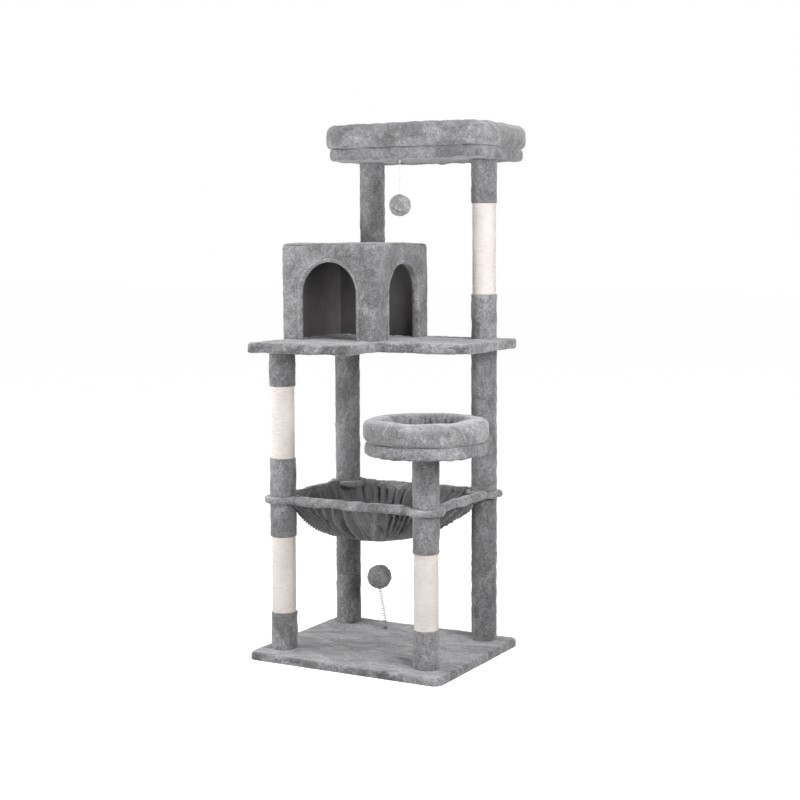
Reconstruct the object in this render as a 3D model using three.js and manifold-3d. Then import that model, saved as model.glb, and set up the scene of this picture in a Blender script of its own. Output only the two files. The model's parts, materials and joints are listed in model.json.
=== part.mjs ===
// A free-standing cat tree: a covered base, ten post segments, a hammock, an L-shaped platform with a
// condo on it, a round bed, a top perch, a hanging pom-pom and a ball on a spring.
// Millimetres, +Z up. The origin is the centre of the base's underside; +X is right and +Y is back.
import * as THREE from "three";
import { mergeVertices } from "three/addons/utils/BufferGeometryUtils.js";
import Module from "manifold-3d";

const wasm = await Module();
wasm.setup();

// ---- Driving dimensions ----
const GAP = 0.3; // clearance between pieces that touch
const PLUSH = 3.5; // thickness of a glued plush cover
const BOARD = 15; // thickness of the chipboard under the soft tops

// Levels, from the floor up: each is the underside or the top of a covered deck
const BASE_TOP = 20;
const HAMMOCK = [434, 452];
const BED = [599, 632];
const PLATFORM = [858, 885];
const CONDO_TOP = 1158;
const PERCH = [1391, 1424];

// Plan sizes
const WIDTH = 600;
const DEPTH = 500;
const DECK_CORNER = 24; // plan radius of the base's and platform's corners
const POST_LEFT = -237;
const POST_RIGHT = 216;
const POST_FRONT = -158;
const POST_BACK = 195;
const CUT_OUT = [26, -82]; // inner corner of the notch that leaves room for the round bed

// Posts
const TUBE_R = 31;
const TUBE_WALL = 4;
const PLUG = 15; // thickness of the disc glued into each end of a tube
const PLUSH_R = 37;
const SISAL_R = 34;
const STUD_R = 4;
const STUD_HOLE_R = 4.4;
const STUD_GRIP = 14; // how far a stud reaches into the next piece
const POST_SIDES = 18; // facets round a tube and its sleeves

// Condo
const CONDO = { x: [-298, 11], y: [-70, 250], wall: 12, corner: 18 };
const FRONT_ARCH = { centre: -140, radius: 92, top: 1106 };
const SIDE_ARCH = { centre: 90, radius: 85, top: 1100 };
const ROOF_POST_X = -148;

// Round bed
const BED_R = 162;
const BED_BOLSTER = { outer: 170, inner: 98, height: 62 };
const BED_PAD = 16;

// Perch
const PERCH_CENTRE = [33, 192];
const PERCH_SIZE = [484, 340];
const PERCH_CORNER = 50;
const PERCH_BOLSTER = { size: [500, 356], corner: 56, width: 66, height: 66 };

// Hammock
const EAR_R = 54; // the soft pad around each post's stud
const WIRE_R = 3;
const WIRE_PLAY = 0.6; // room round the wire in its channel
const WIRE_BEND = 14; // the wire frame bends round each stud at this radius
const HEM = 24; // width of the hem that the wire runs in
const SLING_BOTTOM = 320;
const SLING_CLOTH = 6;
const SLING_OVERHANG = 8; // how far the sling's rim reaches past the line of the posts
// The sling's outline as [share of the rim's half width, share of the depth]
const SLING_PROFILE = [[0.2, 1], [0.42, 0.95], [0.58, 0.8], [0.76, 0.52], [0.9, 0.26], [1, 0]];

// Toys
const STRING_AT = [33, 35];
const STRING_R = 1;
const KNOT_R = 4;
const TACK = { radius: 6, height: 2 };
const POM_POM = { radius: 30, z: 1262 };
const SPRING_FOOT = [-95, 170];
const SPRING_HEAD = [-111, 161]; // the spring leans a little, from its foot to here
const SPRING = { radius: 5.5, wire: 0.9, turnsPerHalf: 7 };
const SPRING_PLATE = { radius: 14, height: 3 };
const BALL = { radius: 35, z: 175 };

// ---- Materials ----
const finish = (color, roughness, metalness = 0) =>
  new THREE.MeshStandardMaterial({ color, roughness, metalness });
const materials = {
  plush: finish(0x8e8e90, 0.95),
  softPlush: finish(0x98989a, 0.95),
  sisal: finish(0xe6dfd2, 0.9),
  board: finish(0xb7986d, 0.85),
  cardboard: finish(0xa58662, 0.9),
  panel: finish(0x6d6967, 0.9),
  steel: finish(0x9da0a4, 0.35, 1),
  string: finish(0xf2f1ee, 0.8),
  pomPom: finish(0x87878a, 1),
};

const tree = new THREE.Group();
const ORIGIN = new THREE.Vector2();
const ARC_STEPS = 3; // half the facets in a rounded corner
const SOFT_STEPS = 12; // facets round a bolster's section
const STEPS_PER_TURN = 8; // of the coil spring
const WIRE_SIDES = 5;
const HAMMOCK_CENTRE = [(POST_LEFT + POST_RIGHT) / 2, (POST_FRONT + POST_BACK) / 2];

function add(name, geometry, material) {
  const mesh = new THREE.Mesh(geometry, material);
  mesh.name = name;
  tree.add(mesh);
  return mesh;
}

// ---- Geometry helpers ----
function toSolid(geometry) {
  const bare = geometry.index ? geometry.toNonIndexed() : geometry.clone();
  bare.deleteAttribute("normal");
  bare.deleteAttribute("uv");
  const merged = mergeVertices(bare, 1e-3);
  return new wasm.Manifold(
    new wasm.Mesh({
      numProp: 3,
      vertProperties: merged.attributes.position.array,
      triVerts: new Uint32Array(merged.index.array),
    }),
  );
}

function toGeometry(solid) {
  const mesh = solid.getMesh();
  return new THREE.BufferGeometry()
    .setAttribute("position", new THREE.BufferAttribute(mesh.vertProperties, 3))
    .setIndex(new THREE.BufferAttribute(mesh.triVerts, 1));
}

const cut = (body, ...tools) =>
  toGeometry(tools.reduce((left, tool) => left.subtract(toSolid(tool)), toSolid(body)));

const join = (first, ...others) =>
  toGeometry(others.reduce((whole, other) => whole.add(toSolid(other)), toSolid(first)));

// A solid of revolution about a vertical axis; the profile lists [radius, z] anticlockwise.
function turned(profile, [x, y] = [0, 0], sides = 20) {
  const points = profile.map(([r, z]) => new THREE.Vector2(r, z));
  return new THREE.LatheGeometry(points, sides).rotateX(Math.PI / 2).translate(x, y, 0);
}

const ring = (inner, outer, [low, high], at, sides) =>
  turned([[inner, low], [outer, low], [outer, high], [inner, high], [inner, low]], at, sides);

const disc = (radius, [low, high], at, sides) =>
  turned([[0, low], [radius, low], [radius, high], [0, high]], at, sides);

// A torus-like soft ring: its section is an ellipse of the given width and height.
function softRing(inner, outer, [low, high], at) {
  const middle = (inner + outer) / 2;
  const profile = Array.from({ length: SOFT_STEPS + 1 }, (_, i) => {
    const angle = -Math.PI / 2 + (i % SOFT_STEPS) * (2 * Math.PI) / SOFT_STEPS;
    return [
      middle + ((outer - inner) / 2) * Math.cos(angle),
      (low + high) / 2 + ((high - low) / 2) * Math.sin(angle),
    ];
  });
  return turned(profile, at, 28);
}

// The outline of a right-angled polygon with rounded corners; a corner is [x, y, radius], anticlockwise.
function turnAt(corners, i) {
  const [x, y] = corners[i];
  const towards = ([cx, cy]) => new THREE.Vector2(cx - x, cy - y).normalize();
  const before = towards(corners.at(i - 1));
  const after = towards(corners[(i + 1) % corners.length]);
  return { before, after, inward: before.cross(after) < 0 ? 1 : -1 };
}

function outline(corners) {
  const shape = new THREE.Shape();
  corners.forEach(([x, y, radius], i) => {
    const { before, after, inward } = turnAt(corners, i);
    const start = new THREE.Vector2(x, y).addScaledVector(before, radius);
    const end = new THREE.Vector2(x, y).addScaledVector(after, radius);
    const centre = start.clone().addScaledVector(after, radius);
    const angle = (point) => Math.atan2(point.y - centre.y, point.x - centre.x);
    if (i === 0) shape.moveTo(start.x, start.y);
    shape.absarc(centre.x, centre.y, radius, angle(start), angle(end), inward < 0);
  });
  shape.closePath();
  return shape;
}

// The same corners with every side moved inwards.
function inset(corners, distance) {
  return corners.map(([x, y, radius], i) => {
    const { before, after, inward } = turnAt(corners, i);
    const step = before.add(after).multiplyScalar(distance * inward);
    return [x + step.x, y + step.y, Math.max(radius - distance * inward, 1)];
  });
}

const rectangle = ([x0, x1], [y0, y1], radius) =>
  [[x0, y0, radius], [x1, y0, radius], [x1, y1, radius], [x0, y1, radius]];

const rectangleAt = ([x, y], [width, depth], radius) =>
  rectangle([x - width / 2, x + width / 2], [y - depth / 2, y + depth / 2], radius);

const slab = (corners, [low, high]) =>
  new THREE.ExtrudeGeometry(outline(corners), {
    depth: high - low,
    bevelEnabled: false,
    curveSegments: ARC_STEPS,
  }).translate(0, 0, low);

const block = ([x0, x1], [y0, y1], [z0, z1]) =>
  new THREE.BoxGeometry(x1 - x0, y1 - y0, z1 - z0)
    .translate((x0 + x1) / 2, (y0 + y1) / 2, (z0 + z1) / 2);

const hole = (at, [low, high], radius = STUD_HOLE_R) => disc(radius, [low, high], at, 12);

// A round rod along a curve, with flat ends.
function rod(curve, radius, steps, sides = 8) {
  const corner = (_, i) => new THREE.Vector2(radius, 0).rotateAround(ORIGIN, (i * 2 * Math.PI) / sides);
  const section = new THREE.Shape(Array.from({ length: sides }, corner));
  return new THREE.ExtrudeGeometry(section, { steps, extrudePath: curve, bevelEnabled: false });
}

class Helix extends THREE.Curve {
  constructor(foot, head, radius, turns) {
    super();
    Object.assign(this, { foot, head, radius, turns });
  }

  getPoint(t, target = new THREE.Vector3()) {
    const angle = t * this.turns * 2 * Math.PI;
    const reach = new THREE.Vector3(Math.cos(angle), Math.sin(angle), 0).multiplyScalar(this.radius);
    return target.copy(this.foot).lerp(this.head, t).add(reach);
  }
}

class Arc extends THREE.Curve {
  constructor([x, y], z, radius, from, to) {
    super();
    Object.assign(this, { x, y, z, radius, from, to });
  }

  getPoint(t, target = new THREE.Vector3()) {
    const angle = this.from + (this.to - this.from) * t;
    const [dx, dy] = [Math.cos(angle) * this.radius, Math.sin(angle) * this.radius];
    return target.set(this.x + dx, this.y + dy, this.z);
  }
}

// The surface through a list of rings of equally many points; it is capped, or it closes on itself.
function loft(rings, closed = false) {
  const count = rings[0].length;
  const points = rings.flat();
  const faces = [];
  const last = closed ? rings.length : rings.length - 1;
  for (let r = 0; r < last; r++) {
    const lower = r * count;
    const upper = ((r + 1) % rings.length) * count;
    for (let i = 0; i < count; i++) {
      const j = (i + 1) % count;
      faces.push(lower + i, lower + j, upper + j, lower + i, upper + j, upper + i);
    }
  }
  if (!closed) {
    const top = (rings.length - 1) * count;
    for (let i = 1; i < count - 1; i++) {
      faces.push(0, i + 1, i, top, top + i, top + i + 1);
    }
  }
  return new THREE.BufferGeometry().setFromPoints(points).setIndex(faces);
}

// ---- Covered boards ----
// A board wrapped in plush on every side; the cover is pierced where studs pass.
function coveredBoard(name, corners, [low, high], boardThickness, studs, throughStuds = []) {
  const bottom = low + GAP;
  const board = [bottom + PLUSH + GAP, bottom + PLUSH + GAP + boardThickness];
  const cavity = slab(inset(corners, PLUSH), [bottom + PLUSH, board[1] + GAP]);
  const pierced = [bottom - 1, board[0] + 1];
  const through = [bottom - 1, high + 1];
  const cover = cut(
    slab(corners, [bottom, high]),
    cavity,
    ...studs.map((at) => hole(at, pierced)),
    ...throughStuds.map((at) => hole(at, through)),
  );
  const holes = [...studs, ...throughStuds].map((at) => hole(at, through));
  add(`${name}_board`, cut(slab(inset(corners, PLUSH + GAP), board), ...holes), materials.board);
  add(`${name}_cover`, cover, materials.plush);
}

const FRONT_LEFT = [POST_LEFT, POST_FRONT];
const FRONT_RIGHT = [POST_RIGHT, POST_FRONT];
const BACK_LEFT = [POST_LEFT, POST_BACK];
const BACK_RIGHT = [POST_RIGHT, POST_BACK];
const ROOF_POST = [ROOF_POST_X, POST_BACK];
const COLUMNS = [FRONT_LEFT, FRONT_RIGHT, BACK_RIGHT, BACK_LEFT];
const SPAN_X = [-WIDTH / 2, WIDTH / 2];
const SPAN_Y = [-DEPTH / 2, DEPTH / 2];

// ---- Base: the board rests on the floor, and its cover is glued over the top and round the sides ----
function addBase() {
  const corners = rectangle(SPAN_X, SPAN_Y, DECK_CORNER);
  const under = BASE_TOP - PLUSH;
  const head = { radius: 9, low: 1, high: 5 };
  const skirt = 0.6; // the cover stops this far above the floor
  const shafts = COLUMNS.map((at) => hole(at, [-1, BASE_TOP + 1]));
  const counterbores = COLUMNS.map((at) => hole(at, [-1, head.high + GAP], head.radius + 1));
  const board = slab(inset(corners, PLUSH + GAP), [0, under - GAP]);
  const cavity = slab(inset(corners, PLUSH), [-1, under]);
  add("base_board", cut(board, ...shafts, ...counterbores), materials.board);
  add("base_cover", cut(slab(corners, [skirt, BASE_TOP]), cavity, ...shafts), materials.plush);
  const names = ["front_left", "front_right", "back_right", "back_left"];
  COLUMNS.forEach((at, i) => addBolt(`base_bolt_${names[i]}`, at, head, BASE_TOP + STUD_GRIP));
}

// A flanged bolt, pushed up from below.
function addBolt(name, at, { radius, low, high }, tip) {
  const profile = [[0, low], [radius, low], [radius, high], [STUD_R, high], [STUD_R, tip], [0, tip]];
  add(name, turned(profile, at, 16), materials.steel);
}

// ---- Post segments: a tube with glued end discs and a stud, in plush sleeves and sisal ----
const MIDDLE_TOP = PLATFORM[0];
const throughHammock = HAMMOCK[1] - HAMMOCK[0] + STUD_GRIP;
const throughPlatform = PLATFORM[1] - PLATFORM[0] + STUD_GRIP;
const intoBoard = 17;
const SEGMENTS = [
  { name: "front_left_lower", at: FRONT_LEFT, z: [BASE_TOP, HAMMOCK[0]], stud: throughHammock,
    sisal: [125, 339] },
  { name: "front_left_upper", at: FRONT_LEFT, z: [HAMMOCK[1], MIDDLE_TOP], stud: intoBoard,
    sisal: [560, 761] },
  { name: "front_right_lower", at: FRONT_RIGHT, z: [BASE_TOP, HAMMOCK[0]], stud: throughHammock,
    sisal: [125, 332] },
  { name: "front_right_upper", at: FRONT_RIGHT, z: [HAMMOCK[1], BED[0]], stud: intoBoard },
  { name: "back_left_lower", at: BACK_LEFT, z: [BASE_TOP, HAMMOCK[0]], stud: throughHammock },
  { name: "back_left_upper", at: BACK_LEFT, z: [HAMMOCK[1], MIDDLE_TOP], stud: intoBoard },
  { name: "back_right_lower", at: BACK_RIGHT, z: [BASE_TOP, HAMMOCK[0]], stud: throughHammock },
  { name: "back_right_middle", at: BACK_RIGHT, z: [HAMMOCK[1], MIDDLE_TOP], stud: throughPlatform },
  { name: "back_right_top", at: BACK_RIGHT, z: [PLATFORM[1], PERCH[0]], stud: intoBoard,
    sisal: [1012, 1268] },
  { name: "roof_post", at: ROOF_POST, z: [CONDO_TOP, PERCH[0]], stud: intoBoard },
];

function addSegment({ name, at, z: [low, high], stud, sisal }) {
  const bottom = low + GAP;
  const inner = TUBE_R - TUBE_WALL;
  const tube = [
    [0, high - PLUG], [inner, high - PLUG], [inner, bottom + PLUG], [STUD_HOLE_R, bottom + PLUG],
    [STUD_HOLE_R, bottom], [TUBE_R, bottom], [TUBE_R, high], [STUD_R, high],
    [STUD_R, high + stud], [0, high + stud],
  ];
  add(`${name}_tube`, turned(tube, at, POST_SIDES), materials.cardboard);
  const sleeve = (part, radius, from, to, material) =>
    add(`${name}_${part}`, ring(TUBE_R + GAP, radius, [from, to], at, POST_SIDES), material);
  if (!sisal) {
    sleeve("plush", PLUSH_R, bottom, high, materials.plush);
    return;
  }
  sleeve("plush_bottom", PLUSH_R, bottom, sisal[0] - GAP, materials.plush);
  sleeve("sisal", SISAL_R, sisal[0], sisal[1], materials.sisal);
  sleeve("plush_top", PLUSH_R, sisal[1] + GAP, high, materials.plush);
}

// ---- Hammock: a wire frame in the hem of a plush sling, with an ear round each stud ----
// The wire, or the channel that it runs in, as one loop; straight runs join four bends round the studs.
function wireLoop(radius, z) {
  const lap = 0.05; // radians that a bend reaches into the straight runs
  const bends = COLUMNS.map(([x, y]) => {
    const from = x < 0 ? (y < 0 ? Math.PI : Math.PI / 2) : y < 0 ? -Math.PI / 2 : 0;
    return rod(new Arc([x, y], z, WIRE_BEND, from - lap, from + Math.PI / 2 + lap), radius, 5);
  });
  const far = { left: POST_LEFT - WIRE_BEND, right: POST_RIGHT + WIRE_BEND };
  const sides = [
    [[POST_LEFT, POST_FRONT - WIRE_BEND], [POST_RIGHT, POST_FRONT - WIRE_BEND]],
    [[far.right, POST_FRONT], [far.right, POST_BACK]],
    [[POST_RIGHT, POST_BACK + WIRE_BEND], [POST_LEFT, POST_BACK + WIRE_BEND]],
    [[far.left, POST_BACK], [far.left, POST_FRONT]],
  ].map(([[x0, y0], [x1, y1]]) => {
    const ends = [new THREE.Vector3(x0, y0, z), new THREE.Vector3(x1, y1, z)];
    return rod(new THREE.LineCurve3(...ends), radius, 1);
  });
  return join(...bends, ...sides);
}

// A rounded-rectangle ring of points at one level, drawn as a superellipse.
function slingRing(half, z, power, count = 24) {
  const squash = (value) => Math.sign(value) * Math.abs(value) ** (2 / power);
  return Array.from({ length: count }, (_, i) => {
    const angle = ((i + 0.5) * 2 * Math.PI) / count;
    const x = HAMMOCK_CENTRE[0] + half[0] * squash(Math.cos(angle));
    return new THREE.Vector3(x, HAMMOCK_CENTRE[1] + half[1] * squash(Math.sin(angle)), z);
  });
}

// The bowl of the sling: round at the bottom, and squarer towards the rim.
function slingBowl(rim, middle) {
  const depth = middle - SLING_BOTTOM;
  const [roundPower, addedPower] = [2, 1.6];
  const skin = (thickness) =>
    SLING_PROFILE.map(([width, drop]) => {
      const half = rim.map((length) => length * width - thickness);
      const z = middle - (depth - thickness) * drop;
      return slingRing(half, z, roundPower + addedPower * width ** 3);
    });
  return loft([...skin(0), ...skin(SLING_CLOTH).reverse()]);
}

function addHammock() {
  const [low, high] = [HAMMOCK[0] + GAP, HAMMOCK[1]];
  const middle = (low + high) / 2;
  const channel = WIRE_R + WIRE_PLAY;
  const grid = rectangle([POST_LEFT, POST_RIGHT], [POST_FRONT, POST_BACK], 1);
  const outer = inset(grid, -WIRE_BEND - HEM / 2).map(([x, y]) => [x, y, WIRE_BEND + HEM / 2]);
  const inner = inset(grid, -WIRE_BEND + HEM / 2).map(([x, y]) => [x, y, 6]);
  const hem = cut(slab(outer, [low, high]), slab(inner, [low - 1, high + 1]));
  const ears = COLUMNS.map((at) => disc(EAR_R, [low, high], at, 20));
  const half = [(POST_RIGHT - POST_LEFT) / 2, (POST_BACK - POST_FRONT) / 2];
  const bowl = slingBowl(half.map((length) => length + SLING_OVERHANG), middle);
  // Slits under the hem, where the wire is threaded in
  const slitHalf = 20;
  const slits = [POST_FRONT - WIRE_BEND, POST_BACK + WIRE_BEND].map((y) =>
    block([-slitHalf, slitHalf], [y - WIRE_R, y + WIRE_R], [low - 1, middle]));
  const studs = COLUMNS.map((at) => hole(at, [low - 1, high + 1], STUD_R + 1));
  const posts = COLUMNS.map((at) => disc(PLUSH_R + 1, [SLING_BOTTOM, HAMMOCK[0] + GAP], at));
  const cloth = join(hem, ...ears, cut(bowl, ...posts));
  const sling = cut(cloth, wireLoop(channel, middle), ...slits, ...studs);
  add("hammock_sling", sling, materials.plush);
  // The two ends of the wire meet with a small gap at the back
  const butt = block([-2, 2], [POST_BACK, POST_BACK + 2 * WIRE_BEND], [low, high]);
  add("hammock_wire", cut(wireLoop(WIRE_R, middle), butt), materials.steel);
}

// ---- Platform and condo ----
function addPlatform() {
  const [notchX, notchY] = CUT_OUT;
  const corners = [
    [SPAN_X[0], SPAN_Y[0], DECK_CORNER], [notchX, SPAN_Y[0], DECK_CORNER],
    [notchX, notchY, DECK_CORNER / 2], [SPAN_X[1], notchY, DECK_CORNER],
    [SPAN_X[1], SPAN_Y[1], DECK_CORNER], [SPAN_X[0], SPAN_Y[1], DECK_CORNER],
  ];
  const thickness = PLATFORM[1] - PLATFORM[0] - 2 * PLUSH - 3 * GAP;
  coveredBoard("platform", corners, PLATFORM, thickness, [FRONT_LEFT, BACK_LEFT], [BACK_RIGHT]);
}

// A doorway as a prism along Y, open at the bottom.
function doorway({ radius, top }, [near, far]) {
  const spring = top - radius;
  const below = PLATFORM[1] - 5;
  const shape = new THREE.Shape().moveTo(-radius, below).lineTo(radius, below).lineTo(radius, spring);
  shape.absarc(0, spring, radius, 0, Math.PI, false).closePath();
  const depth = far - near;
  return new THREE.ExtrudeGeometry(shape, { depth, bevelEnabled: false, curveSegments: 16 })
    .rotateX(Math.PI / 2).translate(0, far, 0);
}

function addCondo() {
  const { x, y, wall, corner } = CONDO;
  const floor = PLATFORM[1] + GAP;
  const skin = PLUSH + GAP;
  const shell = rectangle(x, y, corner);
  const inside = slab(inset(shell, PLUSH), [floor - 1, CONDO_TOP - PLUSH]);
  const core = toSolid(slab(inset(shell, skin), [floor, CONDO_TOP - skin]));
  const reach = wall + skin + 5;
  const front = doorway(FRONT_ARCH, [y[0] - 5, y[0] + reach]).translate(FRONT_ARCH.centre, 0, 0);
  const side = doorway(SIDE_ARCH, [-x[1] - 5, -x[1] + reach])
    .rotateZ(Math.PI / 2).translate(0, SIDE_ARCH.centre, 0);
  const boltHole = hole(ROOF_POST, [floor, CONDO_TOP + 1]);
  const panel = (name, box, ...openings) => {
    const board = toGeometry(core.intersect(toSolid(box)));
    add(`condo_${name}`, openings.length ? cut(board, ...openings) : board, materials.panel);
  };
  const ceiling = CONDO_TOP - skin - wall;
  const walls = [floor, ceiling - GAP];
  const [frontBack, backFront] = [y[0] + skin + wall, y[1] - skin - wall];
  const between = [frontBack + GAP, backFront - GAP];
  panel("front", block([x[0], x[1]], [y[0], frontBack], walls), front);
  panel("back", block([x[0], x[1]], [backFront, y[1]], walls));
  panel("left", block([x[0], x[0] + skin + wall], between, walls));
  panel("right", block([x[1] - skin - wall, x[1]], between, walls), side);
  panel("roof", block([x[0], x[1]], [y[0], y[1]], [ceiling, CONDO_TOP]), boltHole);
  const cover = cut(slab(shell, [floor, CONDO_TOP]), inside, front, side, boltHole);
  add("condo_cover", cover, materials.plush);
  const head = { radius: 9, low: ceiling - GAP - 4, high: ceiling - GAP };
  addBolt("roof_bolt", ROOF_POST, head, CONDO_TOP + STUD_GRIP);
}

// ---- Round bed: a covered disc with a stuffed bolster and a pad ----
function addBed() {
  const [low, high] = BED;
  const bottom = low + GAP;
  const board = [bottom + PLUSH + GAP, bottom + PLUSH + GAP + BOARD];
  const cover = cut(
    disc(BED_R, [bottom, high], FRONT_RIGHT, 36),
    disc(BED_R - PLUSH, [bottom + PLUSH, board[1] + GAP], FRONT_RIGHT, 36),
    hole(FRONT_RIGHT, [bottom - 1, board[0]]),
  );
  const core = ring(STUD_HOLE_R, BED_R - PLUSH - GAP, board, FRONT_RIGHT, 36);
  const { outer, inner, height } = BED_BOLSTER;
  const seat = high + GAP;
  add("bed_board", core, materials.board);
  add("bed_cover", cover, materials.plush);
  add("bed_bolster", softRing(inner, outer, [seat, high + height], FRONT_RIGHT), materials.plush);
  const pad = disc(inner - 1, [seat, high + BED_PAD], FRONT_RIGHT, 32);
  add("bed_pad", pad, materials.softPlush);
}

// ---- Perch: a covered board with a stuffed bolster round its rim ----
function bolsterRing(corners, z) {
  const points = outline(corners).getPoints(ARC_STEPS);
  const first = points.at(-1).distanceTo(points[0]) < 1e-3 ? 1 : 0; // drop a repeated closing point
  return points.slice(first).map(({ x, y }) => new THREE.Vector3(x, y, z));
}

function addPerch() {
  const corners = rectangleAt(PERCH_CENTRE, PERCH_SIZE, PERCH_CORNER);
  coveredBoard("perch", corners, PERCH, BOARD, [BACK_RIGHT, ROOF_POST]);
  const { size, corner, width, height } = PERCH_BOLSTER;
  const rim = rectangleAt(PERCH_CENTRE, size, corner);
  const [low, high] = [PERCH[1] + GAP, PERCH[1] + height];
  const rings = Array.from({ length: SOFT_STEPS }, (_, i) => {
    const angle = (i * 2 * Math.PI) / SOFT_STEPS;
    const z = (low + high) / 2 + ((high - low) / 2) * Math.sin(angle);
    return bolsterRing(inset(rim, (width / 2) * (1 - Math.cos(angle))), z);
  });
  add("perch_bolster", loft(rings, true), materials.plush);
}

// ---- Toys ----
function addHangingToy() {
  const [x, y] = STRING_AT;
  const tackLow = PERCH[0] - TACK.height;
  const knotZ = tackLow - GAP - KNOT_R;
  const stringTop = knotZ - KNOT_R - GAP;
  const stringEnd = POM_POM.z + POM_POM.radius + GAP;
  const ends = [new THREE.Vector3(x, y, stringEnd), new THREE.Vector3(x, y, stringTop)];
  const ball = (radius, z, sides) => new THREE.SphereGeometry(radius, sides, sides / 2).translate(x, y, z);
  add("string_tack", disc(TACK.radius, [tackLow, PERCH[0]], STRING_AT, 16), materials.steel);
  add("string_knot", ball(KNOT_R, knotZ, 12), materials.string);
  add("toy_string", rod(new THREE.LineCurve3(...ends), STRING_R, 20), materials.string);
  add("pom_pom", ball(POM_POM.radius, POM_POM.z, 20), materials.pomPom);
}

function addSpringToy() {
  const { radius, wire, turnsPerHalf } = SPRING;
  const plate = [BASE_TOP + GAP, BASE_TOP + GAP + SPRING_PLATE.height];
  const bottom = new THREE.Vector3(...SPRING_FOOT, plate[1] + GAP + wire);
  const top = new THREE.Vector3(...SPRING_HEAD, BALL.z - BALL.radius - GAP - wire);
  const ends = (wire + GAP / 2) / (top.z - bottom.z); // room between the two halves
  const point = (share) => bottom.clone().lerp(top, share);
  const half = (name, from, to) => {
    const coil = new Helix(point(from), point(to), radius, turnsPerHalf);
    add(name, rod(coil, wire, turnsPerHalf * STEPS_PER_TURN, WIRE_SIDES), materials.steel);
  };
  add("spring_foot", disc(SPRING_PLATE.radius, plate, SPRING_FOOT), materials.steel);
  half("spring_lower", 0, 0.5 - ends);
  half("spring_upper", 0.5 + ends, 1);
  const ball = new THREE.SphereGeometry(BALL.radius, 20, 10).translate(...SPRING_HEAD, BALL.z);
  add("spring_ball", ball, materials.pomPom);
}

addBase();
SEGMENTS.forEach(addSegment);
addHammock();
addPlatform();
addCondo();
addBed();
addPerch();
addHangingToy();
addSpringToy();

export default tree;
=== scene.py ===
import json
import math

import bmesh
import bpy
import numpy as np
from mathutils import Matrix, Vector


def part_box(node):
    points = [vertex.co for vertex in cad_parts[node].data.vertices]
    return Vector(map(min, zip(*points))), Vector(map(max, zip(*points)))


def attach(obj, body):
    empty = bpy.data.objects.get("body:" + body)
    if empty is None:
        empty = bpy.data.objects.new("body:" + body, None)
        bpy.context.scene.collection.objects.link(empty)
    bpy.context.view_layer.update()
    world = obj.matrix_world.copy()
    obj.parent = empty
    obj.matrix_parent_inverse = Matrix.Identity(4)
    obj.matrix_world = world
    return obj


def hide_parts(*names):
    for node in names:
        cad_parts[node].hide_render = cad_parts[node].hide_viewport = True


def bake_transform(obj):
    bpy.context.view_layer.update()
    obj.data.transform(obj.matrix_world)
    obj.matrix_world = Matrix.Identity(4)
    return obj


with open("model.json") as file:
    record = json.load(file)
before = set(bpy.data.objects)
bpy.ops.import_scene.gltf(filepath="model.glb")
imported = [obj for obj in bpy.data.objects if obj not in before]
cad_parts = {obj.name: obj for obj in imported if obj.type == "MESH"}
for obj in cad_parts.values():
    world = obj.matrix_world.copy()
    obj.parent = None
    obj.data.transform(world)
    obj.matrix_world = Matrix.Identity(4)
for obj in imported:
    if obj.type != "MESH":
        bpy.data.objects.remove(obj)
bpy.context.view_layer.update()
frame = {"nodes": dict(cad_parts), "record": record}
SCENE = bpy.context.scene

# ---- Driving values, in metres and degrees ----
CAMERA_AT = (2.1672, -3.8102, 1.1557)
CAMERA_YAW, CAMERA_PITCH, CAMERA_ROLL = 29.05, 4.24, -0.23
CAMERA_LENS = 70.63
CAMERA_SHIFT = -0.05

MM = 0.001
POST_SIDES = 72
ROPE = 5.2 * MM  # diameter of the sisal rope, and the pitch of its winding
STRING_DIAMETER = 2 * MM
CLOTH = 3.2 * MM  # thickness of the hammock's cloth
CLOTH_SPARE = 0.16  # how much longer than the frame's opening the hammock's cloth is cut
HEM_LEVEL = 443 * MM
PILE = 0.9 * MM  # how far what stands on plush sinks into it
TRIM = 16 * MM  # how much too tall a cover is made, before its lower edge is cut clean
GAP = 0.3 * MM  # between pieces that touch
SLEEVE_WALL = 5.7 * MM
WINDING_WALL = 2.7 * MM
PERCH_CORNER = 56 * MM
PERCH_RIM = 66 * MM  # width of its bolster
BED_HOLLOW = 98 * MM  # radius inside its bolster

# Doorways of the condo: radius of the arch, level of its top, and its middle along the wall
FRONT_DOOR = (92 * MM, 1106 * MM, -140 * MM)
SIDE_DOOR = (85 * MM, 1100 * MM, 90 * MM)
CONDO_WALL = 16 * MM

# The hammock: how deep it is at each share of the way from its middle to its rim
SLING_PROFILE = [(0, 1), (0.2, 0.98), (0.42, 0.87), (0.58, 0.68), (0.76, 0.38), (0.9, 0.15), (1, 0)]
SLING_LEAN = -12 * MM  # how far its lowest part hangs forward
SLING_SHIFT = 0.1  # how far its lowest part lies to the left, as a share of half its width
FOLD_SHARE = 0.6  # how much of the simulated folds stays
PLEAT = 36 * MM  # distance between its gathers
PLEAT_DEPTH = 23 * MM
HEM_HALF = 12 * MM
EAR_RADIUS = 54 * MM
EAR_HALF = 9 * MM

LIGHTS_FACE = (0, 0, 0.8)  # the point that every light is turned to


def box(node):
    low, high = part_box(node)
    return np.array(low), np.array(high)


def centre_of(node):
    low, high = box(node)
    return (low + high) / 2


def round_box(node):
    """Centre, radius, bottom and top of a round piece."""
    low, high = box(node)
    return (low + high) / 2, (high[0] - low[0]) / 2, low[2], high[2]


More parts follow.
